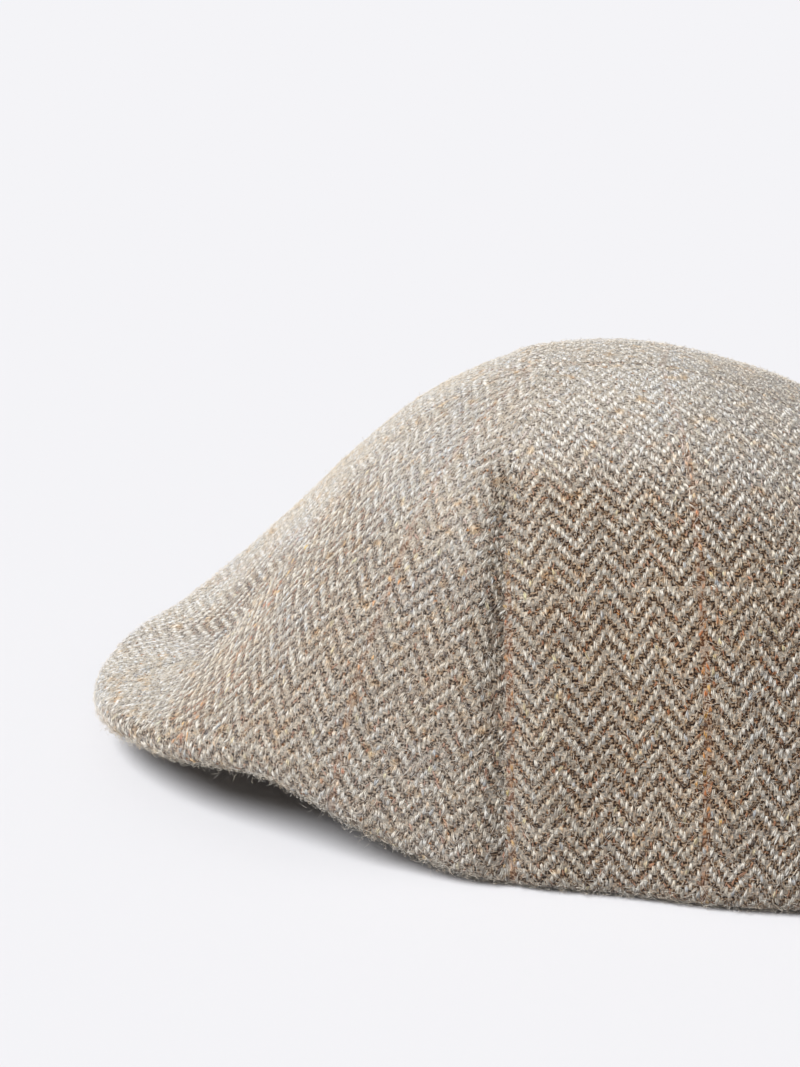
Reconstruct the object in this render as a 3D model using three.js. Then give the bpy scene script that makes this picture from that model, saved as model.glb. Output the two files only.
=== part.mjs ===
// Flat cap in wool tweed: two front panels that run down over the peak, two back panels and
// the underside of the peak. Millimetres, +Z up, peak along -Y, wearer's left side along +X.
// The cap rests on its rim, where the cloth is turned in to a hem that is flat at Z = 0.
import * as THREE from 'three';

// Cloth and sewing
const CLOTH_THICKNESS = 2.0;
const SEAM_GAP = 0.3;
const SIDE_SEAM_DIP = 1.3;
const CENTRE_SEAM_DIP = 0.5;
const SEAM_DIP_WIDTH = 5.0;
const HEM_INSET = 10.0;

// How full the dome is: the pull of a rib at its edge and at its crest, and the wall's inward lean
const EDGE_FULLNESS = 0.5;
const CREST_FULLNESS = 0.56;
const EDGE_LEAN = 0.1;

// Underside of the peak
const PEAK_THICKNESS = 2.5;
const FOREHEAD_AHEAD = 92.0;
const FOREHEAD_UP = 28.0;
const TEMPLE_AHEAD = 64.0;
const TEMPLE_OUT = 62.0;
const TEMPLE_RIB = 7.6;

// Ribs of the left half, from the tip of the peak round to the middle of the back.
// edgeAhead, edgeOut: the outermost point of the hem, from the middle of the head opening
// edgeUp: height of the hem's flat bottom, hemRadius: radius of the rolled edge above it
// crestAhead, crestUp: where the rib meets the centre line of the cap
// bow: how far the rib is drawn forward on its way up
const RIB_COLUMNS = ['edgeAhead', 'edgeOut', 'edgeUp', 'hemRadius', 'crestAhead', 'crestUp', 'bow'];
const RIBS = [
  [159.8, 0, 5, 7, 138, 22.5, 0],
  [157.5, 14, 7.5, 6, 136, 23.5, 0],
  [151, 27, 11.5, 5, 131.5, 26, 0],
  [141, 38.5, 14, 4, 124.5, 33.5, 0],
  [129, 48.5, 16.5, 4, 115.5, 45.5, 1],
  [115, 58, 16.5, 4, 103.5, 60, 3],
  [99.5, 66.5, 10.5, 4, 89, 76.5, 6],
  [82, 73.5, 4, 4, 71, 90, 10],
  [61.5, 79.5, 0, 4, 49, 98, 13],
  [36, 84, 0, 4, 26, 98.5, 11],
  [9, 91, 0, 4, 3, 92.5, 7],
  [-20, 92, 0, 4, -19, 82, 3],
  [-50, 85.5, 0, 4, -40, 69.5, 0],
  [-77, 67, 0, 4, -58, 57, 0],
  [-93, 36.5, 0, 4, -71, 46, 0],
  [-99, 0, 0, 4, -77, 40, 0],
];
const SIDE_SEAM = 8;
const BACK_RIB = RIBS.length - 1;

// How finely the panels are divided, with extra steps this share of a step away from the seams
const FRONT_STEPS = 22;
const BACK_STEPS = 24;
const ROLL_STEPS = 4;
const RIB_STEPS = 15;
const PEAK_STEPS = 8;
const SEAM_STEPS = [0.3, 0.6];

const UP = new THREE.Vector3(0, 0, 1);
const LEFT = new THREE.Vector3(1, 0, 0);

// Smooth value between four evenly spaced values, at a share of the way from the second to the third
function smooth(before, from, to, after, share) {
  const slopeFrom = (to - before) / 2;
  const slopeTo = (after - from) / 2;
  const square = share * share;
  const cube = square * share;
  return (2 * cube - 3 * square + 1) * from + (cube - 2 * square + share) * slopeFrom
    + (3 * square - 2 * cube) * to + (cube - square) * slopeTo;
}

// A row of the table, carried on as its mirror image past the tip and past the middle of the back
function ribRow(index) {
  const inside = index < 0 ? -index : index > BACK_RIB ? 2 * BACK_RIB - index : index;
  const row = RIBS[inside].slice();
  if (inside !== index) row[1] = -row[1];
  return row;
}

// The table's columns at any place between its rows, with no edge below the surface the cap rests on
function ribAt(place) {
  const index = Math.min(Math.max(Math.floor(place), -1), BACK_RIB);
  const rows = [-1, 0, 1, 2].map((step) => ribRow(index + step));
  const rib = {};
  RIB_COLUMNS.forEach((name, column) => {
    rib[name] = smooth(...rows.map((row) => row[column]), place - index);
  });
  rib.edgeUp = Math.max(rib.edgeUp, 0);
  return rib;
}

// Small step along the cap for taking slopes
const NUDGE = 1e-3;

// Horizontal direction that points straight out of the cap's edge
function outwardAt(place) {
  const here = ribAt(place - NUDGE);
  const next = ribAt(place + NUDGE);
  return new THREE.Vector3(here.edgeAhead - next.edgeAhead, here.edgeOut - next.edgeOut, 0).normalize();
}

// Point of the cap from its distances to the left, ahead and up
function point(left, ahead, up) {
  return new THREE.Vector3(left, -ahead, up);
}

// Outline of the cap along one rib, by a height from 0 to 3: hem, rolled edge, then up to the crest
function outlinePoint(place, height) {
  const rib = ribAt(place);
  const outward = outwardAt(place);
  const edge = point(rib.edgeOut, rib.edgeAhead, rib.edgeUp + rib.hemRadius);
  if (height < 1) {
    const inset = HEM_INSET + (rib.hemRadius - HEM_INSET) * height;
    return edge.addScaledVector(outward, -inset).addScaledVector(UP, -rib.hemRadius);
  }
  if (height < 2) {
    const angle = (height - 1) * Math.PI / 2;
    edge.addScaledVector(outward, rib.hemRadius * (Math.sin(angle) - 1));
    return edge.addScaledVector(UP, -rib.hemRadius * Math.cos(angle));
  }
  const crest = point(0, rib.crestAhead, rib.crestUp);
  const before = ribAt(place - NUDGE);
  const after = ribAt(place + NUDGE);
  const centreLine = point(0, before.crestAhead - after.crestAhead, before.crestUp - after.crestUp).normalize();
  const chord = new THREE.Vector3().subVectors(edge, crest).setZ(0);
  const across = LEFT.clone().multiplyScalar(chord.x).addScaledVector(centreLine, -chord.y);
  const rise = EDGE_FULLNESS * (rib.crestUp - edge.z);
  const low = edge.clone().addScaledVector(UP, rise).addScaledVector(outward, -EDGE_LEAN * rise);
  const high = crest.clone().addScaledVector(across, CREST_FULLNESS).addScaledVector(centreLine, rib.bow);
  return new THREE.CubicBezierCurve3(edge, low, high, crest).getPoint(height - 2);
}

// Direction square to the cloth, with the mirror plane kept exact at the centre seams
function clothNormal(place, height) {
  const low = Math.max(height - NUDGE, 0);
  const high = Math.min(height + NUDGE, 3);
  const along = outlinePoint(place + NUDGE, height).sub(outlinePoint(place - NUDGE, height));
  const upward = outlinePoint(place, high).sub(outlinePoint(place, low));
  const normal = new THREE.Vector3().crossVectors(along, upward);
  if (onCentre(place, height)) normal.x = 0;
  return normal.normalize();
}

function onCentre(place, height) {
  return height === 3 || place === 0 || place === BACK_RIB;
}

// How far the cloth dips beside a seam at some distance
function dipBeside(depth, distance) {
  return depth * Math.exp(-((distance / SEAM_DIP_WIDTH) ** 2));
}

// How far the cloth dips beside the seams above the hem, where the side seam fades out at the crest
function seamDip(place, height) {
  const here = outlinePoint(place, height);
  const toSideSeam = here.distanceTo(outlinePoint(SIDE_SEAM, height));
  const aboveHem = Math.min(Math.max(height - 1, 0), 1);
  const belowCrest = Math.min(Math.max(3 - height, 0), 1);
  const side = dipBeside(SIDE_SEAM_DIP * Math.sqrt(belowCrest), toSideSeam);
  return aboveHem * Math.max(side, dipBeside(CENTRE_SEAM_DIP, Math.abs(here.x)));
}

// Outside and inside points of the cloth, with half of the seam's gap taken off at each seam
function clothPair(place, height, seamSide) {
  const normal = clothNormal(place, height);
  const outside = outlinePoint(place, height).addScaledVector(normal, -seamDip(place, height));
  if (place === SIDE_SEAM) {
    const along = outlinePoint(place + NUDGE, height).sub(outlinePoint(place - NUDGE, height));
    outside.addScaledVector(along.normalize(), seamSide * SEAM_GAP / 2);
    outside.z = Math.max(outside.z, 0);
  }
  if (onCentre(place, height)) outside.x = SEAM_GAP / 2;
  return [outside, outside.clone().addScaledVector(normal, -CLOTH_THICKNESS)];
}

// Evenly spread places between two ribs, with extra ones beside the end that is the side seam
function panelPlaces(from, to, steps) {
  const stride = (to - from) / steps;
  const places = Array.from({ length: steps + 1 }, (_, step) => from + stride * step);
  const inward = to === SIDE_SEAM ? -stride : stride;
  SEAM_STEPS.forEach((share) => places.push(SIDE_SEAM + inward * share));
  return places.sort((one, other) => one - other);
}

// Heights of a rib's points: the hem, its rolled edge, the wall and the closer steps at the crest
function panelHeights() {
  const heights = [0];
  for (let step = 0; step <= ROLL_STEPS; step += 1) heights.push(1 + step / ROLL_STEPS);
  for (let step = 1; step <= RIB_STEPS; step += 1) heights.push(2 + step / RIB_STEPS);
  SEAM_STEPS.forEach((share) => heights.push(3 - share / RIB_STEPS));
  return heights.sort((one, other) => one - other);
}

// Closed body between two grids of points, the outside first, wound to face out
function shellGeometry(outside, inside, mirrored) {
  const rows = outside.length;
  const columns = outside[0].length;
  const positions = [...outside.flat(), ...inside.flat()]
    .flatMap((corner) => [mirrored ? -corner.x : corner.x, corner.y, corner.z]);
  const faces = [];
  const quad = (a, b, c, d) => (mirrored ? faces.push(a, c, b, a, d, c) : faces.push(a, b, c, a, c, d));
  const outer = (row, column) => row * columns + column;
  const inner = (row, column) => rows * columns + row * columns + column;
  for (let row = 0; row + 1 < rows; row += 1) {
    for (let column = 0; column + 1 < columns; column += 1) {
      quad(outer(row, column), outer(row + 1, column), outer(row + 1, column + 1), outer(row, column + 1));
      quad(inner(row, column), inner(row, column + 1), inner(row + 1, column + 1), inner(row + 1, column));
    }
  }
  const lastRow = rows - 1;
  const lastColumn = columns - 1;
  for (let row = 0; row < lastRow; row += 1) {
    quad(outer(row, 0), inner(row, 0), inner(row + 1, 0), outer(row + 1, 0));
    quad(outer(row, lastColumn), outer(row + 1, lastColumn), inner(row + 1, lastColumn), inner(row, lastColumn));
  }
  for (let column = 0; column < lastColumn; column += 1) {
    quad(outer(0, column), outer(0, column + 1), inner(0, column + 1), inner(0, column));
    quad(outer(lastRow, column), inner(lastRow, column), inner(lastRow, column + 1), outer(lastRow, column + 1));
  }
  const geometry = new THREE.BufferGeometry();
  geometry.setAttribute('position', new THREE.Float32BufferAttribute(positions, 3));
  geometry.setIndex(faces);
  geometry.computeVertexNormals();
  return geometry;
}

// One cloth panel of the left side, or its mirror image for the right side
function panelGeometry(from, to, steps, mirrored) {
  const seamSide = to === SIDE_SEAM ? -1 : 1;
  const pairs = panelPlaces(from, to, steps)
    .map((place) => panelHeights().map((height) => clothPair(place, height, seamSide)));
  const outside = pairs.map((rib) => rib.map((pair) => pair[0]));
  const inside = pairs.map((rib) => rib.map((pair) => pair[1]));
  return shellGeometry(outside, inside, mirrored);
}

// Point of the peak's lower face: share 0 lies on the turned-in hem, share 1 on the forehead line
function peakPoint(place, share) {
  const side = Math.sign(place);
  const rib = ribAt(Math.abs(place));
  const outward = outwardAt(Math.abs(place));
  const toTemple = Math.abs(place) / TEMPLE_RIB;
  const seat = rib.edgeUp + CLOTH_THICKNESS + SEAM_GAP;
  const edge = point(rib.edgeOut, rib.edgeAhead, seat).addScaledVector(outward, -rib.hemRadius);
  const foreheadAhead = FOREHEAD_AHEAD + (TEMPLE_AHEAD - FOREHEAD_AHEAD) * toTemple ** 2;
  const foreheadUp = seat + (FOREHEAD_UP - seat) * (1 - toTemple ** 2);
  const forehead = point(TEMPLE_OUT * toTemple, foreheadAhead, foreheadUp);
  const here = edge.clone().lerp(forehead, share);
  here.z = edge.z + (forehead.z - edge.z) * Math.sin(share * Math.PI / 2);
  if (side < 0) here.x = -here.x;
  return here;
}

// Underside of the peak, a crescent from temple to temple that lies on the hem of the front panels
function peakGeometry() {
  const halfSteps = FRONT_STEPS;
  const upper = [];
  const lower = [];
  for (let step = -halfSteps; step <= halfSteps; step += 1) {
    const place = TEMPLE_RIB * step / halfSteps;
    const row = Array.from({ length: PEAK_STEPS + 1 }, (_, column) => peakPoint(place, column / PEAK_STEPS));
    lower.push(row);
    upper.push(row.map((corner) => corner.clone().addScaledVector(UP, PEAK_THICKNESS)));
  }
  return shellGeometry(upper, lower, false);
}

const tweed = new THREE.MeshStandardMaterial({ color: 0xa3978a, roughness: 0.95, metalness: 0 });
const undercloth = new THREE.MeshStandardMaterial({ color: 0x8d8072, roughness: 0.95, metalness: 0 });

const pieces = [
  ['front_left', panelGeometry(0, SIDE_SEAM, FRONT_STEPS, false), tweed],
  ['front_right', panelGeometry(0, SIDE_SEAM, FRONT_STEPS, true), tweed],
  ['back_left', panelGeometry(SIDE_SEAM, BACK_RIB, BACK_STEPS, false), tweed],
  ['back_right', panelGeometry(SIDE_SEAM, BACK_RIB, BACK_STEPS, true), tweed],
  ['peak_under', peakGeometry(), undercloth],
];

// The table measures from the head opening, and the part stands with its middle at the origin
const middleAhead = (RIBS[0][0] + RIBS[BACK_RIB][0]) / 2;
const cap = new THREE.Group();
cap.name = 'flat_cap';
for (const [name, geometry, material] of pieces) {
  const mesh = new THREE.Mesh(geometry, material);
  mesh.name = name;
  mesh.position.y = middleAhead;
  cap.add(mesh);
}

export default cap;
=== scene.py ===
# %% [markdown]
# # A flat cap in herringbone tweed
#
# The cap is sewn from four panels of brushed wool tweed, and a fifth piece lines the underside of
# the peak. The solids already give the form of every panel. This lesson turns each one into cloth:
# it flattens the panel to the pattern a cutter would use, lays the weave on that pattern, and then
# brings every raised thread and loose fibre back onto the curved cap.

# %% Load the solids and keep their box
import math
from collections import namedtuple

import bpy
import numpy as np
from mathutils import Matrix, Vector, noise
from mathutils.bvhtree import BVHTree
from mathutils.geometry import barycentric_transform


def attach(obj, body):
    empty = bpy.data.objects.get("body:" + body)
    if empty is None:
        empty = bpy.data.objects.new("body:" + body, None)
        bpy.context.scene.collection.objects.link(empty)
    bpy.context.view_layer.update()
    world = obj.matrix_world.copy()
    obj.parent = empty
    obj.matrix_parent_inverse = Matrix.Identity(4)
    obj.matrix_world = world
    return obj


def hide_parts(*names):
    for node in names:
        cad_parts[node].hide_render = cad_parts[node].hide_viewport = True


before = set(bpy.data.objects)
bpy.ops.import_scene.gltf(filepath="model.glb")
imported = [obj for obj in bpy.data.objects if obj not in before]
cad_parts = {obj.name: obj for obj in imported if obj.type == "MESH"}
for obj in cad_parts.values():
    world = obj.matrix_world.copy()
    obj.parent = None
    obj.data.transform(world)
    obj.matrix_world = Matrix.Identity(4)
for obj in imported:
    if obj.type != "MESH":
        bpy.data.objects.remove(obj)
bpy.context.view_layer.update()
MM = 0.001


# %% [markdown]
# ## The camera
#
# The cap is seen from the wearer's left and from a little above. A short lens close by could fill
# the frame, but it would swell the near side. A long lens from about a metre keeps the near and the
# far side close in size, as in a product photograph. The aim lies in front of the cap's middle,
# because the back of the cap runs out of the picture.

# %% Place the camera
AIM = Vector((0, -55.1, 54.4)) * MM
CAMERA_DISTANCE = 1.1
CAMERA_RISE = math.radians(24)
LENS_MM = 154.0

view_offset = Vector((math.cos(CAMERA_RISE), 0, math.sin(CAMERA_RISE))) * CAMERA_DISTANCE
view_turn = (math.pi / 2 - CAMERA_RISE, 0, math.pi / 2)
bpy.ops.object.select_all(action="DESELECT")
bpy.ops.object.camera_add(location=AIM + view_offset, rotation=view_turn)
camera = bpy.context.object
camera.data.lens = LENS_MM
bpy.context.scene.camera = camera
print("camera at", [round(v, 3) for v in camera.location])

# %% [markdown]
# ## Floor and studio light
#
# The cap lies on a pale sweep of paper under one broad soft light overhead, which leans towards the
# peak and a little to the camera's side. An area lamp could give it, but its light falls off across
# the paper. A sun with a wide disc lights the whole sweep evenly, as a white studio does, and its
# shadow is sharp where the cloth touches the floor and soft where the peak is raised. A white
# surround fills the rest.

# %% Paper floor
FLOOR_SIZE = 12.0
FLOOR_COLOUR = (0.667, 0.671, 0.699, 1)

bpy.ops.object.select_all(action="DESELECT")
bpy.ops.mesh.primitive_plane_add(size=FLOOR_SIZE)
floor = bpy.context.object
floor.name = "floor"
paper = bpy.data.materials.new("paper_sweep")
paper.use_nodes = True
paper_shader = paper.node_tree.nodes["Principled BSDF"]
paper_shader.inputs["Base Color"].default_value = FLOOR_COLOUR
paper_shader.inputs["Roughness"].default_value = 1.0
paper_shader.inputs["Specular IOR Level"].default_value = 0.0
floor.data.materials.append(paper)
print("paper sweep of", FLOOR_SIZE, "m")

# %% Soft light and white surround
SURROUND_COLOUR = (1, 0.95, 0.89, 1)
SURROUND_STRENGTH = 0.26
KEY_FROM = Vector((0.25, -0.72, 1.0))
KEY_DISC = math.radians(36)
KEY_STRENGTH = 4.34

surround = bpy.data.worlds.new("studio")
surround.use_nodes = True
background = surround.node_tree.nodes["Background"]
background.inputs["Color"].default_value = SURROUND_COLOUR
background.inputs["Strength"].default_value = SURROUND_STRENGTH
bpy.context.scene.world = surround
bpy.context.scene.view_settings.view_transform = "Standard"

bpy.ops.object.light_add(type="SUN", location=KEY_FROM)
key = bpy.context.object
key.name = "key_light"
key.rotation_euler = (-KEY_FROM).to_track_quat("-Z", "Y").to_euler()
key.data.angle = KEY_DISC
key.data.energy = KEY_STRENGTH
print("soft light of strength", KEY_STRENGTH, "from", tuple(KEY_FROM))

# %% [markdown]
# ## Each panel as a smooth shell
#
# A panel of the cap is one piece of cloth with an outer and an inner wall. It could be modelled
# anew, but its solid already has the right form. A solid arrives as loose triangles, so a copy is
# merged and its triangles are joined to four-sided faces, because a subdivision surface runs
# smoothly over those. The edges of a panel are creased later, so that the subdivision smooths the
# walls and leaves the seams closed.

# %% Copy a solid as a clean mesh
MERGE_DISTANCE = 1e-5


def only(piece):
    bpy.ops.object.select_all(action="DESELECT")
    piece.select_set(True)
    bpy.context.view_layer.objects.active = piece


def copy_of_solid(node):
    piece = bpy.data.objects.new(node + "_cloth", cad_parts[node].data.copy())
    bpy.context.scene.collection.objects.link(piece)
    piece.data.materials.clear()
    only(piece)
    bpy.ops.mesh.customdata_custom_splitnormals_clear()
    bpy.ops.object.mode_set(mode="EDIT")
    bpy.ops.mesh.select_all(action="SELECT")
    bpy.ops.mesh.remove_doubles(threshold=MERGE_DISTANCE)
    bpy.ops.mesh.tris_convert_to_quads(face_threshold=math.pi, shape_threshold=math.pi)
    bpy.ops.object.mode_set(mode="OBJECT")
    return piece


# %% Pick one of a panel's two walls
WALL_SHARPNESS = math.radians(58)
LEAST_FACING = 0.5
BELOW_ALL = -1


def select_faces(piece, chosen):
    """Select only the chosen faces, and stay in edit mode."""
    only(piece)
    bpy.ops.object.mode_set(mode="EDIT")
    bpy.ops.mesh.select_mode(type="FACE")
    bpy.ops.mesh.select_all(action="DESELECT")
    bpy.ops.object.mode_set(mode="OBJECT")
    piece.data.polygons.foreach_set("select", chosen)
    bpy.ops.object.mode_set(mode="EDIT")


def select_wall(piece, facing):
    """Select the wall that faces up (1) or down (-1) at the piece's top, and stay in edit mode."""
    faces = piece.data.polygons
    heights = [face.center.z if face.normal.z * facing > LEAST_FACING else BELOW_ALL for face in faces]
    select_faces(piece, np.arange(len(heights)) == np.argmax(heights))
    bpy.ops.mesh.faces_select_linked_flat(sharpness=WALL_SHARPNESS)


def selected_faces(piece):
    bpy.ops.object.mode_set(mode="OBJECT")
    chosen = np.zeros(len(piece.data.polygons), bool)
    piece.data.polygons.foreach_get("select", chosen)
    return chosen


# %% [markdown]
# ## Flattening a panel to its pattern
#
# A tailor cuts each panel flat and the sewing bends it. Going the other way, a projection from above
# would be simple, but it would squeeze the weave on the steep sides. Unwrapping with the least
# stretch lays the curved wall flat as it was cut. The map is then scaled so that one unit is one
# millimetre of cloth, turned until the warp runs along V, and moved until a coloured check thread
# passes through two points on the panel. Everything woven later uses this map.

# %% Read the walls of a mesh as arrays
PATTERN = "pattern"


def wall_triangles(mesh, faces):
    """Loops and corners of the triangles on the chosen faces."""
    mesh.calc_loop_triangles()
    count = len(mesh.loop_triangles)
    loops = np.zeros(count * 3, np.int32)
    owners = np.zeros(count, np.int32)
    mesh.loop_triangles.foreach_get("loops", loops)
    mesh.loop_triangles.foreach_get("polygon_index", owners)
    loops = loops.reshape(-1, 3)[faces[owners]]
    corner_of_loop = np.zeros(len(mesh.loops), np.int32)
    mesh.loops.foreach_get("vertex_index", corner_of_loop)
    return loops, corner_of_loop[loops]


def places(mesh):
    """Places of the loops on the flat pattern."""
    flat = np.zeros(len(mesh.loops) * 2, np.float32)
    mesh.uv_layers[PATTERN].data.foreach_get("uv", flat)
    return flat.reshape(-1, 2).astype(float)


def points(mesh):
    """Points of the corners on the cap."""
    spots = np.zeros(len(mesh.vertices) * 3, np.float32)
    mesh.vertices.foreach_get("co", spots)
    return spots.reshape(-1, 3).astype(float)


def flat_cross(first, second):
    return first[:, 0] * second[:, 1] - first[:, 1] * second[:, 0]


def area_of(corners):
    """Area of triangles that lie flat or in space."""
    first = corners[:, 1] - corners[:, 0]
    second = corners[:, 2] - corners[:, 0]
    if corners.shape[2] == 2:
        return np.abs(flat_cross(first, second)).sum() / 2
    return np.linalg.norm(np.cross(first, second), axis=1).sum() / 2


# %% Unwrap a wall and lay it on the cloth's grain
UNWRAP_ROUNDS = 30


def unwrap_wall(piece, faces):
    select_faces(piece, faces)
    bpy.ops.uv.unwrap(method="MINIMUM_STRETCH", margin=0.0, iterations=UNWRAP_ROUNDS)
    bpy.ops.object.mode_set(mode="OBJECT")


def place_on_pattern(point, tree, solid, cut):
    """The place on the pattern of a point on the cap, which is given in millimetres."""
    spot, _, index, _ = tree.find_nearest(Vector(point) * MM)
    solid_corners = [Vector(p) for p in solid[index]]
    cut_corners = [Vector((*p, 0)) for p in cut[index]]
    return np.array(barycentric_transform(spot, *solid_corners, *cut_corners)[:2])


def lay_on_grain(piece, faces, warp_top, warp_foot, weft_point):
    """Scale the wall's pattern to millimetres, with the warp along V through the given points."""
    mesh = piece.data
    loops, corners = wall_triangles(mesh, faces)
    used = np.unique(loops)
    spots = points(mesh)
    flat = places(mesh)
    flat[used] *= math.sqrt(area_of(spots[corners]) / area_of(flat[loops])) / MM
    tree = BVHTree.FromPolygons(spots.tolist(), corners.tolist())
    measured = (warp_top, warp_foot, weft_point)
    top, foot, weft = [place_on_pattern(p, tree, spots[corners], flat[loops]) for p in measured]
    along = (top - foot) / np.linalg.norm(top - foot)
    turn = np.array([[along[1], -along[0]], [along[0], along[1]]])
    origin = np.array([(turn @ top)[0], (turn @ weft)[1]])
    flat[used] = flat[used] @ turn.T - origin
    mesh.uv_layers[PATTERN].data.foreach_set("uv", flat.astype(np.float32).ravel())
    return flat[used].min(0), flat[used].max(0)


# %% [markdown]
# ## The five pieces of cloth
#
# A cutter lays every panel on the cloth so that its threads run the right way and the checks match
# at the seams. The map of each panel could be turned by eye in the UV editor. Instead a table gives
# three points for each left-hand piece, measured on the cap in millimetres: two on one coloured warp
# thread and one on a pale weft thread. The right-hand pieces take the same points mirrored.

# %% Cut and sew one piece
GRAIN = {
    "front": {"warp_top": (30.5, -47.7, 78.8), "warp_foot": (64, -69, 26), "weft_point": (27, -64.5, 66)},
    "back": {"warp_top": (29.6, 10.5, 91.3), "warp_foot": (89, 14, 8), "weft_point": (61, 0, 66.5)},
    "peak": {"warp_top": (0, -70, 20), "warp_foot": (0, -110, 12), "weft_point": (0, -90, 16)},
}
OUTSIDE = "outside"
CLOTH_LEVELS = 1


def panel_of(name):
    return name.split("_")[0]


def grain_of(name):
    """The grain points of a piece, mirrored for the right-hand side."""
    mirror = -1 if name.endswith("right") else 1
    return {key: (mirror * x, y, z) for key, (x, y, z) in GRAIN[panel_of(name)].items()}


def crease_border(piece, facing):
    """Keep the border of one wall sharp under subdivision."""
    select_wall(piece, facing)
    bpy.ops.mesh.region_to_loop()
    bpy.ops.transform.edge_crease(value=1.0)
    bpy.ops.object.mode_set(mode="OBJECT")


def round_off(piece):
    rounding = piece.modifiers.new("rounding", "SUBSURF")
    rounding.levels = CLOTH_LEVELS
    rounding.render_levels = CLOTH_LEVELS
    bpy.ops.object.modifier_apply(modifier=rounding.name)
    bpy.ops.object.shade_smooth()


def cloth_piece(name):
    """A piece of cloth and the size of its pattern in millimetres."""
    piece = copy_of_solid(name)
    piece.data.uv_layers.new(name=PATTERN)
    facing = -1 if name == "peak_under" else 1
    select_wall(piece, facing)
    outside = selected_faces(piece)
    crease_border(piece, facing)
    crease_border(piece, -facing)
    for wall in (~outside, outside):
        unwrap_wall(piece, wall)
        low, high = lay_on_grain(piece, wall, **grain_of(name))
    mark = piece.data.attributes.new(OUTSIDE, "BOOLEAN", "FACE")
    mark.data.foreach_set("value", outside)
    round_off(piece)
    print(name, len(piece.data.polygons), "faces, pattern", (high - low).round(0), "mm")
    return piece, high - low


# %% All five pieces
PIECES = ["front_left", "front_right", "back_left", "back_right", "peak_under"]

cloth, pattern_size = {}, {}
for name in PIECES:
    cloth[name], pattern_size[name] = cloth_piece(name)

# %% [markdown]
# ## Soft unevenness
#
# Cloth that is sewn over nothing is never as even as a drawn surface. It swells and sinks by less
# than a millimetre over a finger's breadth. The side seam draws it into a valley that is deepest at
# half height and gone over the crown, with two puckers. The centre seam stands up a little, and the
# crest of the peak sags. Sculpting could do this by hand. Here a seeded noise field and a few smooth
# humps move both walls at once, which can be measured and repeated. The panels are drawn together at
# their seams, and everything fades out at the hem, which lies flat on the floor.

# %% Smooth ranges and humps
def fade(value, none, full):
    """0 at none, 1 at full and even steps between them."""
    return np.clip((value - none) / (full - none), 0, 1)


def bell(distance, reach):
    """A smooth hump that is 1 in the middle and fades out past its reach."""
    return np.exp(-(distance / reach) ** 2)


print("a hump one reach away:", round(bell(1.0, 1.0), 2))

# %% Which panels are sewn together, and how the side seam pulls
SIDE_SEAM_REACH = {"front": 3.2 * MM, "back": 5 * MM}
CENTRE_SEAM_REACH = 5 * MM
HEAD_HEIGHT = 20 * MM
SEAM_HEIGHTS = np.array([40, 56, 80, 92]) * MM
SIDE_SEAM_SINKS = np.array([1.0, 2.6, 2.6, -1.0]) * MM
ACROSS_SEAM = {"front": "back", "back": "front", "left": "right", "right": "left"}


def wall_tree(piece):
    corners = [vertex.co for vertex in piece.data.vertices]
    return BVHTree.FromPolygons(corners, [face.vertices for face in piece.data.polygons])


def seams(name):
    """The wall across the side seam and the one across the centre seam, each with the seam's reach."""
    panel, side = name.split("_")
    if panel == "peak":
        return []
    side_wall = walls[f"{ACROSS_SEAM[panel]}_{side}"]
    centre_wall = walls[f"{panel}_{ACROSS_SEAM[side]}"]
    return [(side_wall, SIDE_SEAM_REACH[panel]), (centre_wall, CENTRE_SEAM_REACH)]


def side_seam_pull(spot):
    """The sink of the side seam, towards the head."""
    inward = Vector((-spot.x, 0, HEAD_HEIGHT - spot.z)).normalized()
    return inward * float(np.interp(spot.z, SEAM_HEIGHTS, SIDE_SEAM_SINKS))


walls = {name: wall_tree(piece) for name, piece in cloth.items()}
print({name: len(seams(name)) for name in PIECES}, "seams on the outside")

# %% Let the cloth settle
WAVE_SEED = 1
WAVE_LENGTH = 26 * MM
WAVE_DEPTH = 0.9 * MM
CENTRE_SEAM_RISE = Vector((0, 0, 0.4)) * MM
SEAM_GAP = 0.9 * MM
SEAM_CLOSING = 0.48
# Place, radius and depth of each pucker in millimetres
PUCKERS = [((40.7, -32, 79.7), 9, 1.0), ((68.4, -32.3, 42), 8, 0.8)]
PEAK_SAG = 2.2 * MM
PEAK_SAG_MIDDLE = -104 * MM
PEAK_SAG_REACH = 20 * MM
PEAK_SAG_HEIGHTS = (8 * MM, 20 * MM)
HEM_HEIGHT = 8 * MM


def settle(name, piece):
    sewn = seams(name)
    for vertex in piece.data.vertices:
        spot = vertex.co.copy()
        shift = noise.noise_vector(spot / WAVE_LENGTH) * WAVE_DEPTH
        for (wall, reach), pull in zip(sewn, (side_seam_pull(spot), CENTRE_SEAM_RISE)):
            over, _, _, gap = wall.find_nearest(spot)
            shift += pull * float(bell(gap, reach))
            if gap < SEAM_GAP:
                shift += (over - spot) * SEAM_CLOSING
        for (x, y, z), radius, depth in PUCKERS:
            for side in (1, -1):
                away = (spot - Vector((side * x, y, z)) * MM).length
                shift.x -= side * depth * MM * float(bell(away, radius * MM))
        sag = PEAK_SAG * float(bell(spot.y - PEAK_SAG_MIDDLE, PEAK_SAG_REACH))
        shift.z -= sag * float(fade(spot.z, *PEAK_SAG_HEIGHTS))
        vertex.co = spot + shift * float(fade(spot.z, 0, HEM_HEIGHT))


noise.seed_set(WAVE_SEED)
for name, piece in cloth.items():
    drawn = points(piece.data)
    settle(name, piece)
    moved = np.linalg.norm(points(piece.data) - drawn, axis=1)
    print(name, "settled by", (moved.mean() / MM).round(2), "mm, at most", (moved.max() / MM).round(2))

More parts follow.
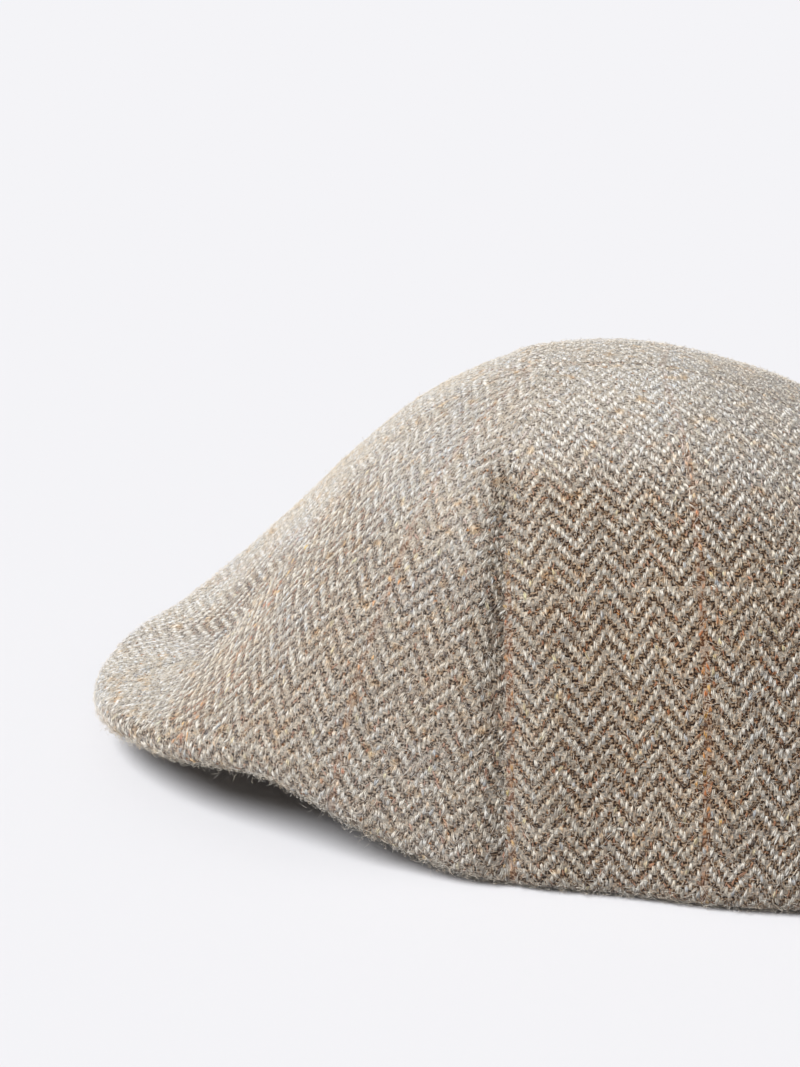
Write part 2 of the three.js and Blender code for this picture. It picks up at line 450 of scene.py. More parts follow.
# %% [markdown]
# ## The weave
#
# The tweed is a two-and-two twill: every warp thread passes over two picks of weft and under two,
# one step further along on each thread, which draws slanting lines. After six threads the slant
# turns round, and that gives the herringbone. Two warp threads in forty-eight are orange, and one
# pick in forty-eight is pale, which draws a large faint check. A picture could carry this, but a
# rule in whole numbers stays sharp at any size, and the material and the raised threads share it.

# %% Sizes and rule of the weave, in millimetres of pattern and in threads
END = 0.93
PICK = 1.15
COLUMN_ENDS = 6
TWILL_STEPS = 4
OVERCHECK = 48


def slant(end):
    """Direction of the twill on a warp thread, 1 or -1 by its column."""
    return 1 - 2 * (np.floor_divide(end, COLUMN_ENDS) % 2)


def is_check(end):
    """The two orange warp threads, on both sides of a column's edge."""
    return (end % OVERCHECK == 0) | (end % OVERCHECK == OVERCHECK - 1)


print("column", round(COLUMN_ENDS * END, 2), "mm, check", round(OVERCHECK * END, 1), "mm")

# %% [markdown]
# ## The nap and its painted sheen
#
# Brushing raises the wool, and the raised fibres hide the weave. They stand thickest on the top,
# along the crest of the front, over the shoulder before the side seam and on the peak's tip, where
# hands brush the cap. The inside has none. Weight painting could set this by hand, but a few ranges
# of place, height and slope are easier to adjust. The cloth carries the result as a value at every
# corner, which its colour reads, and the raised threads and loose fibres follow the same rule. In the
# colour this value is also a painted sheen and highlight: the top, the crest, the band over the side
# seam and the tip are painted paler where they face the light.

# %% Where the wool is brushed up and sheen is painted: each range runs from none to full
# The top's range follows the slope: cloth that faces up to the light gets painted sheen as well as nap
TOP_NAP_AND_SHEEN = 0.87
TOP_SLOPE = (0.8, 1.0)
AHEAD_NAP = 0.22
AHEAD_RANGE = (15 * MM, 50 * MM)
CREST_NAP = 0.9
CREST_RANGE = (0, 30 * MM)
CREST_EDGE = 7 * MM
CREST_TURN = 17 * MM
CREST_TURN_RANGE = (78 * MM, 92 * MM)
CREST_SOFTNESS = 14 * MM
CREST_FAR_EDGE = (-60 * MM, -35 * MM)
SHOULDER_NAP = 0.6
SHOULDER_HEIGHT = (60 * MM, 80 * MM)
SHOULDER_RANGE = (31 * MM, 40 * MM)
# The bridge is the pale band over the top of the side seam, painted highlight as much as nap
BRIDGE_NAP_AND_HIGHLIGHT = 0.6
BRIDGE_HEIGHT = (83 * MM, 89 * MM)
BRIDGE_RANGE = (0, 25 * MM)
TIP = np.array([0, -122, 18]) * MM
TIP_REACH = (27 * MM, 12 * MM)
OUTSIDE_SLOPE = (-0.6, -0.1)


def nap_and_sheen(point, normal):
    """How far the wool is brushed up, from 0 low on the sides to 1 on the peak's tip; in the colour it
    also sets a painted sheen.
    """
    side, ahead, height = point[:, 0], -point[:, 1], point[:, 2]
    upward_sheen = TOP_NAP_AND_SHEEN * fade(normal[:, 2], *TOP_SLOPE)
    front = AHEAD_NAP * fade(ahead, *AHEAD_RANGE)
    edge = CREST_EDGE - CREST_TURN * fade(ahead, *CREST_TURN_RANGE)
    crest = CREST_NAP * fade(ahead, *CREST_RANGE) * fade(side, edge, edge - CREST_SOFTNESS)
    crest *= fade(side, *CREST_FAR_EDGE)
    shoulder = SHOULDER_NAP * fade(height, *SHOULDER_HEIGHT) * fade(ahead, *SHOULDER_RANGE)
    bridge_highlight = BRIDGE_NAP_AND_HIGHLIGHT * fade(height, *BRIDGE_HEIGHT) * fade(ahead, *BRIDGE_RANGE)
    tip = fade(np.linalg.norm(point - TIP, axis=1), *TIP_REACH)
    brushed_and_sheen = np.max([upward_sheen, front, crest, shoulder, bridge_highlight, tip], axis=0)
    return brushed_and_sheen * fade(normal[:, 2], *OUTSIDE_SLOPE)


# %% Give every corner its nap
NAP_AND_SHEEN = "nap_and_sheen"


def corner_normals(mesh):
    normals = np.zeros(len(mesh.vertices) * 3, np.float32)
    mesh.vertex_normals.foreach_get("vector", normals)
    return normals.reshape(-1, 3).astype(float)


def give_corners(mesh, name, kind, key, values):
    """Keep a value for every corner of a mesh as a named attribute."""
    attribute = mesh.attributes.new(name, kind, "POINT")
    attribute.data.foreach_set(key, values.astype(np.float32).ravel())


for name, piece in cloth.items():
    brushed_and_sheen = nap_and_sheen(points(piece.data), corner_normals(piece.data))
    give_corners(piece.data, NAP_AND_SHEEN, "FLOAT", "value", brushed_and_sheen)
    print(name, "mean nap", brushed_and_sheen.mean().round(2))

# %% [markdown]
# ## The ground of the cloth
#
# Between the raised threads the weft shows. Its wool was dyed before it was spun, so it is a mixture:
# dark brown, taupe and grey in fine specks, with a little slate, rust and ochre here and there. An
# image of tweed could be laid on, but it would repeat and blur. The material works the rule of the
# weave out in nodes on the pattern map instead, so that the inside of the cap is woven too. A fine
# noise gives the specks and a coarser one the heather. Two broad ones shift the tint of whole
# clusters of threads. Where the wool is brushed up the specks turn pale, which is partly nap and
# partly a painted sheen where the cloth faces the light.

# %% Colours from everyday sRGB values
def colour(red, green, blue):
    """Linear colour by the standard sRGB curve."""
    srgb = np.array([red, green, blue]) / 255
    linear = np.where(srgb <= 0.04045, srgb / 12.92, ((srgb + 0.055) / 1.055) ** 2.4)
    return (*linear, 1.0)


WHITE = colour(255, 255, 255)
CREAM = colour(240, 234, 222)
CHECK_GROUND = colour(158, 98, 58)
HAZE_AND_SHEEN = colour(226, 228, 232)
WEFT_SPECKS = [
    (0.40, colour(24, 15, 10)),
    (0.47, colour(60, 43, 31)),
    (0.54, colour(110, 88, 68)),
    (0.66, colour(174, 153, 129)),
]
NAPPED_SPECKS_AND_SHEEN = [
    (0.36, colour(84, 74, 65)),
    (0.43, colour(146, 139, 130)),
    (0.50, colour(184, 181, 176)),
    (0.62, colour(208, 207, 205)),
]
HEATHER = [
    (0.28, colour(196, 210, 238)),
    (0.38, WHITE),
    (0.62, WHITE),
    (0.69, colour(255, 200, 158)),
    (0.78, colour(255, 218, 142)),
]
CLUSTER_TINT = [
    (0.29, colour(242, 246, 252)),
    (0.40, WHITE),
    (0.60, WHITE),
    (0.69, colour(255, 242, 226)),
    (0.78, colour(255, 234, 206)),
]
BROAD_TINT = [
    (0.30, colour(253, 254, 255)),
    (0.50, colour(255, 254, 251)),
    (0.70, colour(255, 251, 245)),
]
print("cream as linear colour:", [round(float(part), 3) for part in CREAM[:3]])

# %% A helper that adds nodes
# The Mix node keeps the sockets of its colours at these places
MIX_FACTOR, MIX_FIRST, MIX_SECOND, MIX_RESULT = 0, 6, 7, 2


class Nodes:
    """Adds nodes to a material and links them as they are made."""

    def __init__(self, name):
        self.material = bpy.data.materials.new(name)
        self.material.use_nodes = True
        self.tree = self.material.node_tree
        self.shader = self.tree.nodes["Principled BSDF"]

    def put(self, kind, **settings):
        node = self.tree.nodes.new(kind)
        for key, value in settings.items():
            setattr(node, key, value)
        return node

    def feed(self, socket, value):
        if isinstance(value, bpy.types.NodeSocket):
            self.tree.links.new(value, socket)
        else:
            socket.default_value = value

    def maths(self, operation, *values):
        node = self.put("ShaderNodeMath", operation=operation)
        for socket, value in zip(node.inputs, values):
            self.feed(socket, value)
        return node.outputs[0]

    def mix(self, factor, first, second, blend="MIX"):
        node = self.put("ShaderNodeMix", data_type="RGBA", blend_type=blend)
        self.feed(node.inputs[MIX_FACTOR], factor)
        self.feed(node.inputs[MIX_FIRST], first)
        self.feed(node.inputs[MIX_SECOND], second)
        return node.outputs[MIX_RESULT]

    def multiply(self, first, second):
        return self.mix(1.0, first, second, "MULTIPLY")

    def noise(self, vector, scale, detail):
        node = self.put("ShaderNodeTexNoise")
        self.feed(node.inputs["Vector"], vector)
        node.inputs["Scale"].default_value = scale
        node.inputs["Detail"].default_value = detail
        return node.outputs["Fac"]

    def ramp(self, factor, stops):
        node = self.put("ShaderNodeValToRGB")
        while len(node.color_ramp.elements) < len(stops):
            node.color_ramp.elements.new(1.0)
        for element, (place, shade) in zip(node.color_ramp.elements, stops):
            element.position = place
            element.color = shade
        self.feed(node.inputs[0], factor)
        return node.outputs[0]


# %% What every wool of the cap shares: a broad tint and a matt surface
BROAD_SCALE = 55.0
CLUSTER_SCALE = 260.0
TINT_DETAIL = 2.0
WOOL_ROUGHNESS = 0.95
WOOL_GLOSS = 0.1
SHEEN_ROUGHNESS = 0.5


def broad_tint(n, shade):
    """Tint a colour a little cooler or warmer, in small clusters and over a few centimetres."""
    here = n.put("ShaderNodeTexCoord").outputs["Object"]
    for scale, tint in ((CLUSTER_SCALE, CLUSTER_TINT), (BROAD_SCALE, BROAD_TINT)):
        shade = n.multiply(shade, n.ramp(n.noise(here, scale, TINT_DETAIL), tint))
    return shade


def matt_wool(n, sheen):
    n.shader.inputs["Roughness"].default_value = WOOL_ROUGHNESS
    n.shader.inputs["Specular IOR Level"].default_value = WOOL_GLOSS
    n.shader.inputs["Sheen Weight"].default_value = sheen
    n.shader.inputs["Sheen Roughness"].default_value = SHEEN_ROUGHNESS


# %% The rule of the weave as nodes
def threads_at(n, pattern):
    """The number of the warp thread and of the pick at every place on the pattern."""
    split = n.put("ShaderNodeSeparateXYZ")
    n.feed(split.inputs[0], pattern)
    end = n.maths("FLOOR", n.maths("DIVIDE", split.outputs[0], END))
    pick = n.maths("FLOOR", n.maths("DIVIDE", split.outputs[1], PICK))
    return end, pick


def warp_on_top(n, end, pick):
    """1 where the twill brings the warp up, and 0 where the weft shows."""
    column = n.maths("FLOORED_MODULO", n.maths("FLOOR", n.maths("DIVIDE", end, COLUMN_ENDS)), 2.0)
    side = n.maths("MULTIPLY_ADD", column, -2.0, 1.0)
    step = n.maths("FLOORED_MODULO", n.maths("MULTIPLY_ADD", side, end, pick), float(TWILL_STEPS))
    return n.maths("LESS_THAN", step, TWILL_STEPS / 2 - 0.5)


def check_threads(n, end, pick):
    """1 on the orange warp threads, and 1 on the pale picks."""
    thread = n.maths("FLOORED_MODULO", end, float(OVERCHECK))
    middle = (OVERCHECK - 1) / 2
    from_middle = n.maths("ABSOLUTE", n.maths("SUBTRACT", thread, middle))
    orange = n.maths("GREATER_THAN", from_middle, middle - 0.5)
    pale = n.maths("LESS_THAN", n.maths("FLOORED_MODULO", pick, float(OVERCHECK)), 0.5)
    return orange, pale


# %% Ground material
SPECK_SCALE = 1.8
SPECK_DETAIL = 3.0
HEATHER_SCALE = 0.6
HEATHER_DETAIL = 2.0
TANGLE_DEPTH = 0.3 * MM
WARP_SHOWS = 0.25
ORANGE_SHOWS = 0.14
PALE_SHOWS = 0.1
GROUND_SHEEN = 0.3
GROUND_HAZE_AND_SHEEN = 0.8


def ground_material():
    n = Nodes("tweed_ground")
    pattern = n.put("ShaderNodeUVMap", uv_map=PATTERN).outputs[0]
    end, pick = threads_at(n, pattern)
    tangle = n.noise(pattern, SPECK_SCALE, SPECK_DETAIL)
    napped_and_sheen = n.put("ShaderNodeAttribute", attribute_name=NAP_AND_SHEEN).outputs["Fac"]
    # The nap pales the specks: partly brushed wool, partly painted sheen
    hazy_and_sheen = n.maths("MULTIPLY", napped_and_sheen, GROUND_HAZE_AND_SHEEN)
    specks = n.mix(hazy_and_sheen, n.ramp(tangle, WEFT_SPECKS), n.ramp(tangle, NAPPED_SPECKS_AND_SHEEN))
    shade = n.multiply(specks, n.ramp(n.noise(pattern, HEATHER_SCALE, HEATHER_DETAIL), HEATHER))
    shade = n.mix(n.maths("MULTIPLY", warp_on_top(n, end, pick), WARP_SHOWS), shade, CREAM)
    orange, pale = check_threads(n, end, pick)
    shade = n.mix(n.maths("MULTIPLY", orange, ORANGE_SHOWS), shade, CHECK_GROUND)
    shade = n.mix(n.maths("MULTIPLY", pale, PALE_SHOWS), shade, CREAM)
    n.feed(n.shader.inputs["Base Color"], broad_tint(n, shade))
    bump = n.put("ShaderNodeBump")
    bump.inputs["Strength"].default_value = 1.0
    bump.inputs["Distance"].default_value = TANGLE_DEPTH
    n.feed(bump.inputs["Height"], tangle)
    n.feed(n.shader.inputs["Normal"], bump.outputs[0])
    matt_wool(n, GROUND_SHEEN)
    return n.material


ground = ground_material()
for piece in cloth.values():
    piece.data.materials.append(ground)
print("ground nodes:", len(ground.node_tree.nodes))

# %% [markdown]
# ## Raised threads
#
# A bump only shades a flat wall, but in a brushed tweed the pale warp stands up: seen at a slant,
# its threads hide the dark weft between them. So every float, the stretch where a warp thread
# crosses two picks, is a bundle of three thin closed spindles, and every tuft of weft beside it is
# a pair. An array modifier could repeat one spindle, but not along a curved pattern. Here the rule
# of the weave says where a float lies on the pattern, a map says where that is on the cap, and
# arrays of numbers build all strands of a panel in one mesh.

# %% A map from the flat pattern back to the cap
EDGE_REACH = 0.45
MOST_STRETCH = 1.25 * MM
Spots = namedtuple("Spots", "number point normal across along")


def choose(spots, which):
    return Spots(*(values[which] for values in spots))


def capped(step):
    """The cap's step for a millimetre of pattern, kept short where the pattern is squeezed."""
    return step / np.maximum(np.linalg.norm(step, axis=1, keepdims=True) / MOST_STRETCH, 1)


class PatternMap:
    """Finds spots on a panel's outer wall from places on its pattern, or just over its edge."""

    def __init__(self, piece):
        mesh = piece.data
        outside = np.zeros(len(mesh.polygons), bool)
        mesh.attributes[OUTSIDE].data.foreach_get("value", outside)
        loops, corners = wall_triangles(mesh, outside)
        self.flat = places(mesh)[loops]
        self.solid = points(mesh)[corners]
        self.normals = corner_normals(mesh)[corners]
        sheet = np.dstack([self.flat, np.zeros(self.flat.shape[:2])]).reshape(-1, 3)
        self.tree = BVHTree.FromPolygons(sheet.tolist(), np.arange(len(sheet)).reshape(-1, 3).tolist())
        self.low, self.high = self.flat.min((0, 1)), self.flat.max((0, 1))

    def find(self, wanted):
        """Spots for those wanted places that lie on the wall, with the number of each place."""
        hits = [self.tree.find_nearest(Vector((u, v, 0)), EDGE_REACH) for u, v in wanted]
        number = np.array([k for k, hit in enumerate(hits) if hit[2] is not None])
        tri = np.array([hits[k][2] for k in number])
        nearest = np.array([hits[k][0][:2] for k in number])
        flat, solid = self.flat[tri], self.solid[tri]
        first, second = flat[:, 1] - flat[:, 0], flat[:, 2] - flat[:, 0]
        size = flat_cross(first, second)
        offset = nearest - flat[:, 0]
        b = flat_cross(offset, second) / size
        c = flat_cross(first, offset) / size
        share = np.stack([1 - b - c, b, c], axis=1)[:, :, None]
        point = (solid * share).sum(1)
        normal = (self.normals[tri] * share).sum(1)
        normal /= np.linalg.norm(normal, axis=1, keepdims=True)
        one, two = solid[:, 1] - solid[:, 0], solid[:, 2] - solid[:, 0]
        across = (one * second[:, 1:] - two * first[:, 1:]) / size[:, None]
        along = (two * first[:, :1] - one * second[:, :1]) / size[:, None]
        return Spots(number, point, normal, capped(across), capped(along))


maps = {name: PatternMap(cloth[name]) for name in PIECES}
print({name: len(m.flat) for name, m in maps.items()}, "triangles on the outer walls")

# %% A mesh of many spindles
SPINDLE_SIDES = 3
TOP_CORNER = 0.25
DYE = "dye"
STRAND = "strand"
turns = 2 * math.pi * (np.arange(SPINDLE_SIDES) / SPINDLE_SIDES + TOP_CORNER)


def spindle_faces():
    """Triangles of one spindle: a point at its tail, a ring of corners and a point at its head."""
    faces = []
    head = 1 + SPINDLE_SIDES
    for side in range(SPINDLE_SIDES):
        here = 1 + side
        following = 1 + (side + 1) % SPINDLE_SIDES
        faces.append((0, following, here))
        faces.append((here, following, head))
    return np.array(faces)


def spindle_corners(spots, stations, girth):
    """Corners of every spindle. The stations are tail, middle and head, each (along, height)."""
    tail, middle, head = [
        (spots.point + spots.along * place[:, None] + spots.normal * height[:, None])[:, None, :]
        for place, height in stations
    ]
    wide, thick = girth
    spread = spots.across[:, None, :] * (np.cos(turns)[None, :, None] * wide[:, None, None])
    lift = spots.normal[:, None, :] * (np.sin(turns)[None, :, None] * thick[:, None, None])
    return np.concatenate([tail, middle + spread + lift, head], axis=1)


def lowest_of(spots, stations):
    """The lowest height that the middle line of each spindle reaches."""
    point, normal, along = spots.point[:, 2], spots.normal[:, 2], spots.along[:, 2]
    return np.min([point + along * place + normal * height for place, height in stations], axis=0)


def spindles(name, spots, stations, girth, shades):
    """One mesh of closed spindles, with the dye and the number of each at its corners."""
    corners = spindle_corners(spots, stations, girth)
    count, per = corners.shape[:2]
    faces = (spindle_faces()[None] + per * np.arange(count)[:, None, None]).reshape(-1, 3)
    mesh = bpy.data.meshes.new(name)
    mesh.from_pydata(corners.reshape(-1, 3).tolist(), [], faces.tolist())
    within = [(0, 0), *((side, 1) for side in np.cos(turns)), (0, 2)]
    strand = np.column_stack([np.tile(within, (count, 1)), np.repeat(np.arange(count), per)])
    give_corners(mesh, DYE, "FLOAT_COLOR", "color", np.repeat(shades, per, axis=0))
    give_corners(mesh, STRAND, "FLOAT_VECTOR", "vector", strand)
    mesh.shade_smooth()
    piece = bpy.data.objects.new(name, mesh)
    bpy.context.scene.collection.objects.link(piece)
    return piece


print("one spindle has", len(spindle_faces()), "triangles")

# %% [markdown]
# ## Yarn and its dyes
#
# The warp is cream wool with some heather in it, and the tufts of weft are browner. The orange check
# threads run true on the back panels. On the front their colour strays to the threads beside them.
# A material for each shade would be a long list. One dye for each strand, kept at its corners, needs
# one material only, and a little noise along and around the strand breaks its colour up.

# %% Yarn material
STRAND_STEPS = (1.3, 0.35, 7.3)
STRAND_SCALE = 1.0
STRAND_DETAIL = 1.0
YARN_CONTRAST = 0.55
FIBRE_CONTRAST = 0.4
YARN_SHEEN = 0.2


def yarn_material(name, contrast):
    n = Nodes(name)
    dye = n.put("ShaderNodeAttribute", attribute_name=DYE).outputs["Color"]
    steps = n.put("ShaderNodeVectorMath", operation="MULTIPLY")
    n.feed(steps.inputs[0], n.put("ShaderNodeAttribute", attribute_name=STRAND).outputs["Vector"])
    steps.inputs[1].default_value = STRAND_STEPS
    streaks = n.noise(steps.outputs[0], STRAND_SCALE, STRAND_DETAIL)
    streaks = n.maths("MULTIPLY_ADD", streaks, contrast, 1 - contrast / 2)
    n.feed(n.shader.inputs["Base Color"], broad_tint(n, n.multiply(dye, streaks)))
    matt_wool(n, YARN_SHEEN)
    return n.material


yarn = yarn_material("tweed_yarn", YARN_CONTRAST)
fibre = yarn_material("wool_fibre", FIBRE_CONTRAST)
print("yarn nodes:", len(yarn.node_tree.nodes))

# %% Dye the warp: pale threads, some heather, and the orange check threads
def dyes(*shades):
    return np.array([colour(*shade) for shade in shades])


PALE_DYES = dyes((225, 218, 208), (217, 208, 196), (205, 195, 181), (219, 215, 209))
HEATHER_DYES = dyes(
    (194, 170, 142), (194, 180, 146), (174, 176, 180),
    (164, 146, 128), (140, 122, 104), (184, 173, 157),
)
CHECK_DYES = dyes((200, 142, 84), (178, 112, 66), (206, 160, 92), (174, 130, 96))
HEATHER_SHARE = 0.22
CHECK_SHARE = 0.7
STRAY_ENDS = 4
STRAY_SHARE = 0.25
SHADE_SPREAD = 0.14
THREAD_SPREAD = 0.06


def any_of(palette, random, count):
    return palette[random.integers(0, len(palette), count)]


def warp_shades(random, end, scatter):
    """Dyes of the warp floats."""
    count = len(end)
    shades = any_of(PALE_DYES, random, count)
    heather = random.random(count) < HEATHER_SHARE
    shades[heather] = any_of(HEATHER_DYES, random, count)[heather]
    beside = np.abs((end + OVERCHECK / 2) % OVERCHECK - (OVERCHECK - 1) / 2) < STRAY_ENDS
    share = np.where(is_check(end), CHECK_SHARE * (1 - scatter), STRAY_SHARE * scatter * beside)
    check = random.random(count) < share
    shades[check] = any_of(CHECK_DYES, random, count)[check]
    threads, thread = np.unique(end, return_inverse=True)
    by_thread = THREAD_SPREAD * random.standard_normal(len(threads))[thread]
    shades[:, :3] *= (1 + by_thread + SHADE_SPREAD * random.standard_normal(count))[:, None]
    return np.clip(shades, 0, 1)


print(len(PALE_DYES), "pale,", len(HEATHER_DYES), "heather and", len(CHECK_DYES), "check dyes")

# %% Where the floats lie on the pattern
TUFT_DYES = dyes(
    (160, 140, 120), (121, 102, 84), (180, 166, 149),
    (88, 69, 56), (168, 156, 143), (152, 102, 68),
)
FLOAT_DRIFT = (0.15, 0.3)
WARP_MISSING = 0.08
WEFT_MISSING = 0.45
WEFT_START = {1: 2, -1: 3}


def numbers(low, high, spacing):
    """Numbers of the threads that cross a stretch of the pattern."""
    return np.arange(math.floor(low / spacing), math.ceil(high / spacing))


def crossings(flat, picks):
    """Every warp thread of a pattern with every one of the given picks."""
    ends = numbers(flat.low[0], flat.high[0], END)
    return [grid.ravel() for grid in np.meshgrid(ends, picks, indexing="ij")]


def warp_floats(flat, random, scatter):
    """Places of the warp floats, and the dye of each."""
    end, pick = crossings(flat, numbers(flat.low[1], flat.high[1], PICK))
    starts = (pick + slant(end) * end) % TWILL_STEPS == 0
    starts &= random.random(len(end)) > WARP_MISSING
    end, pick = end[starts], pick[starts]
    wanted = np.stack([(end + 0.5) * END, (pick + 1.0) * PICK], axis=1)
    drifted = wanted + random.normal(0, FLOAT_DRIFT, wanted.shape)
    return drifted, warp_shades(random, end, scatter)


def weft_tufts(warp, random):
    """Places of the tufts, two picks further along than the warp floats, and the dye of each."""
    wanted = warp + [0, TWILL_STEPS / 2 * PICK]
    shades = any_of(TUFT_DYES, random, len(wanted))
    return wanted + random.normal(0, FLOAT_DRIFT, wanted.shape), shades


def pale_weft_floats(flat, random):
    """Places of the floats of the pale picks, and the dye of each."""
    end, pick = crossings(flat, numbers(flat.low[1], flat.high[1], PICK * OVERCHECK) * OVERCHECK)
    step = (pick + slant(end) * end) % TWILL_STEPS
    starts = step == np.where(slant(end) > 0, WEFT_START[1], WEFT_START[-1])
    starts &= random.random(len(end)) > WEFT_MISSING
    wanted = np.stack([(end + 1.0) * END, (pick + 0.5) * PICK], axis=1)[starts]
    return wanted, any_of(PALE_DYES, random, len(wanted))


# %% Split every float into strands
WARP, TUFT, PALE_WEFT = 0, 1, 2
FLOAT_STRANDS = 3
TUFT_STRANDS = 2
FLOAT_TILT = 0.21
TUFT_TILTING = 2
STRAND_TILT = 0.08
STRAND_GAP = 0.18
SIDEWAYS_DRIFT = 0.05
ENDWAYS_DRIFT = 0.2
TURNED_IN = -0.9


def split_yarn(strands):
    """The float of every strand, and the strand's place in it, counted from the middle."""
    float_of = np.repeat(np.arange(len(strands)), strands)
    first = np.repeat(np.cumsum(strands) - strands, strands)
    return float_of, np.arange(len(float_of)) - first - (strands[float_of] - 1) / 2


def lay_strands(name, wanted, kinds, random):
    """Spots of all strands. The turned-in edge of a panel gets none, because nothing shows there."""
    spots = maps[name].find(wanted)
    if name != "peak_under":
        spots = choose(spots, spots.normal[:, 2] > TURNED_IN)
    tufted = kinds[spots.number] == TUFT
    float_of, place = split_yarn(np.where(tufted, TUFT_STRANDS, FLOAT_STRANDS))
    tilt = random.normal(0, FLOAT_TILT, len(tufted)) * np.where(tufted, TUFT_TILTING, 1)
    spots = choose(spots, float_of)
    count = len(float_of)
    tilt = (tilt[float_of] + random.normal(0, STRAND_TILT, count))[:, None]
    turned = (kinds[spots.number] == PALE_WEFT)[:, None]
    across = np.where(turned, spots.along, spots.across)
    along = np.where(turned, -spots.across, spots.along)
    along, across = along + across * tilt, across - along * tilt
    sideways = STRAND_GAP * place + random.normal(0, SIDEWAYS_DRIFT, count)
    endways = random.normal(0, ENDWAYS_DRIFT, count)
    point = spots.point + across * sideways[:, None] + along * endways[:, None]
    return spots._replace(point=point, across=across, along=along)


# %% Length, width and rise of the strands
FLOAT_HALF = 1.2
NAP_LENGTHENS = 0.2
WEFT_SHORTER = 0.65
LENGTH_SPREAD = 0.18
STRAND_WIDTH = 0.215
FELTING = 0.4
WIDTH_SPREAD = 0.2
TUFT_WIDTH = 0.75
FLOAT_RISE = 0.32 * MM
FLATTENING = 0.7
RISE_SPREAD = 0.25
TUFT_RISE = 0.6
LEAST_FACTOR = 0.3


def about_one(random, spread, count):
    return np.maximum(random.normal(1, spread, count), LEAST_FACTOR)


def strand_sizes(kind, felt_and_sheen, random):
    """Half length and half width in millimetres of pattern, and the rise off the cloth."""
    count = len(felt_and_sheen)
    tufted = kind == TUFT
    half = FLOAT_HALF * np.where(kind == PALE_WEFT, WEFT_SHORTER, 1 + NAP_LENGTHENS * felt_and_sheen)
    half = half * about_one(random, LENGTH_SPREAD, count)
    wide = STRAND_WIDTH * (1 + FELTING * felt_and_sheen) * about_one(random, WIDTH_SPREAD, count)
    rise = FLOAT_RISE * (1 - FLATTENING * felt_and_sheen) * about_one(random, RISE_SPREAD, count)
    return half, wide * np.where(tufted, TUFT_WIDTH, 1), rise * np.where(tufted, TUFT_RISE, 1)


# %% [markdown]
# ## Painted light and shade in the dye
#
# The crown and the cloth near the hem are painted paler, as painted light where they catch more of
# it. The rim, the cloth behind the side seam and the underside of the peak are painted darker, as
# painted shade. The nap lays a pale haze over all of it, partly brushed wool and partly painted
# sheen. Vertex painting could do it by hand. Because every strand has its own dye, the same ranges
# and humps as before change that dye, and the weave stays as it is.

# %% Paint light and shade into the strands: each range of heights or places runs from no change to the full one
STRAND_SPREAD = 0.17
LIGHTEST = np.array(colour(216, 211, 203))
CROWN_PAINTED_LIGHT_HEIGHT = (56 * MM, 90 * MM)
CROWN_PAINTED_LIGHT_RANGE = (-45 * MM, 0)
HEM_PAINTED_LIGHT = 0.4
HEM_PAINTED_LIGHT_HEIGHT = (30 * MM, 8 * MM)
PAINTED_LIGHT_MIX = 0.3
PAINTED_LIGHT_GAIN = 0.25
PAINTED_LIGHT_DYE = np.array(colour(228, 225, 218))
RIM_PAINTED_SHADE = 0.4
RIM_PAINTED_SHADE_HEIGHT = (6 * MM, 2 * MM)
SEAM_PAINTED_SHADE = 0.32
SEAM_PAINTED_SHADE_REACH = 4.5 * MM
SEAM_PAINTED_SHADE_HEIGHT = (88 * MM, 78 * MM)
PALING_AND_SHEEN = 0.92
UNDERSIDE_PAINTED_SHADE = 0.35


def painted_seam_shade(name, point):
    """Where shade is painted behind the side seam: 1 on the seam, fading out beside it and over the
    crown.
    """
    wall, _ = seams(name)[0]
    gap = np.array([wall.find_nearest(Vector(spot))[3] for spot in point])
    return bell(gap, SEAM_PAINTED_SHADE_REACH) * fade(point[:, 2], *SEAM_PAINTED_SHADE_HEIGHT)


def strand_shades(name, shades, felt_and_sheen, point, random):
    height = point[:, 2]
    shades[:, :3] *= (1 + STRAND_SPREAD * (1 - felt_and_sheen) * random.standard_normal(len(felt_and_sheen)))[:, None]
    shades = np.clip(shades, 0, LIGHTEST)
    # Painted light: the crown and the cloth above the hem are made paler
    painted_light = fade(height, *CROWN_PAINTED_LIGHT_HEIGHT) * fade(point[:, 1], *CROWN_PAINTED_LIGHT_RANGE)
    painted_light = painted_light + HEM_PAINTED_LIGHT * fade(height, *HEM_PAINTED_LIGHT_HEIGHT)
    shades[:, :3] *= (1 + PAINTED_LIGHT_GAIN * painted_light)[:, None]
    shades += (PAINTED_LIGHT_DYE - shades) * (PAINTED_LIGHT_MIX * painted_light)[:, None]
    # Painted shade along the rim, where the hem turns under towards the floor
    shades[:, :3] *= (1 - RIM_PAINTED_SHADE * fade(height, *RIM_PAINTED_SHADE_HEIGHT))[:, None]
    # Painted shade on the back panel behind the side seam
    if panel_of(name) == "back":
        shades[:, :3] *= (1 - SEAM_PAINTED_SHADE * painted_seam_shade(name, point))[:, None]
    # The pale haze of the nap, partly brushed wool and partly painted sheen
    shades += (np.array(HAZE_AND_SHEEN) - shades) * (PALING_AND_SHEEN * felt_and_sheen)[:, None]
    # Painted shade on the underside of the peak
    if name == "peak_under":
        shades[:, :3] *= UNDERSIDE_PAINTED_SHADE
    return shades


# %% Weave every piece
WOOL_SEED = 7
SCATTER = {"front": 0.6, "back": 0.1, "peak": 0.5}
MIDDLE_DRIFT = 0.3
MIDDLE_HEIGHT = 0.4
MIDDLE_THICKNESS = 0.7
FLOAT_SINK = -0.15 * MM
FLOOR_GAP = 0.1 * MM


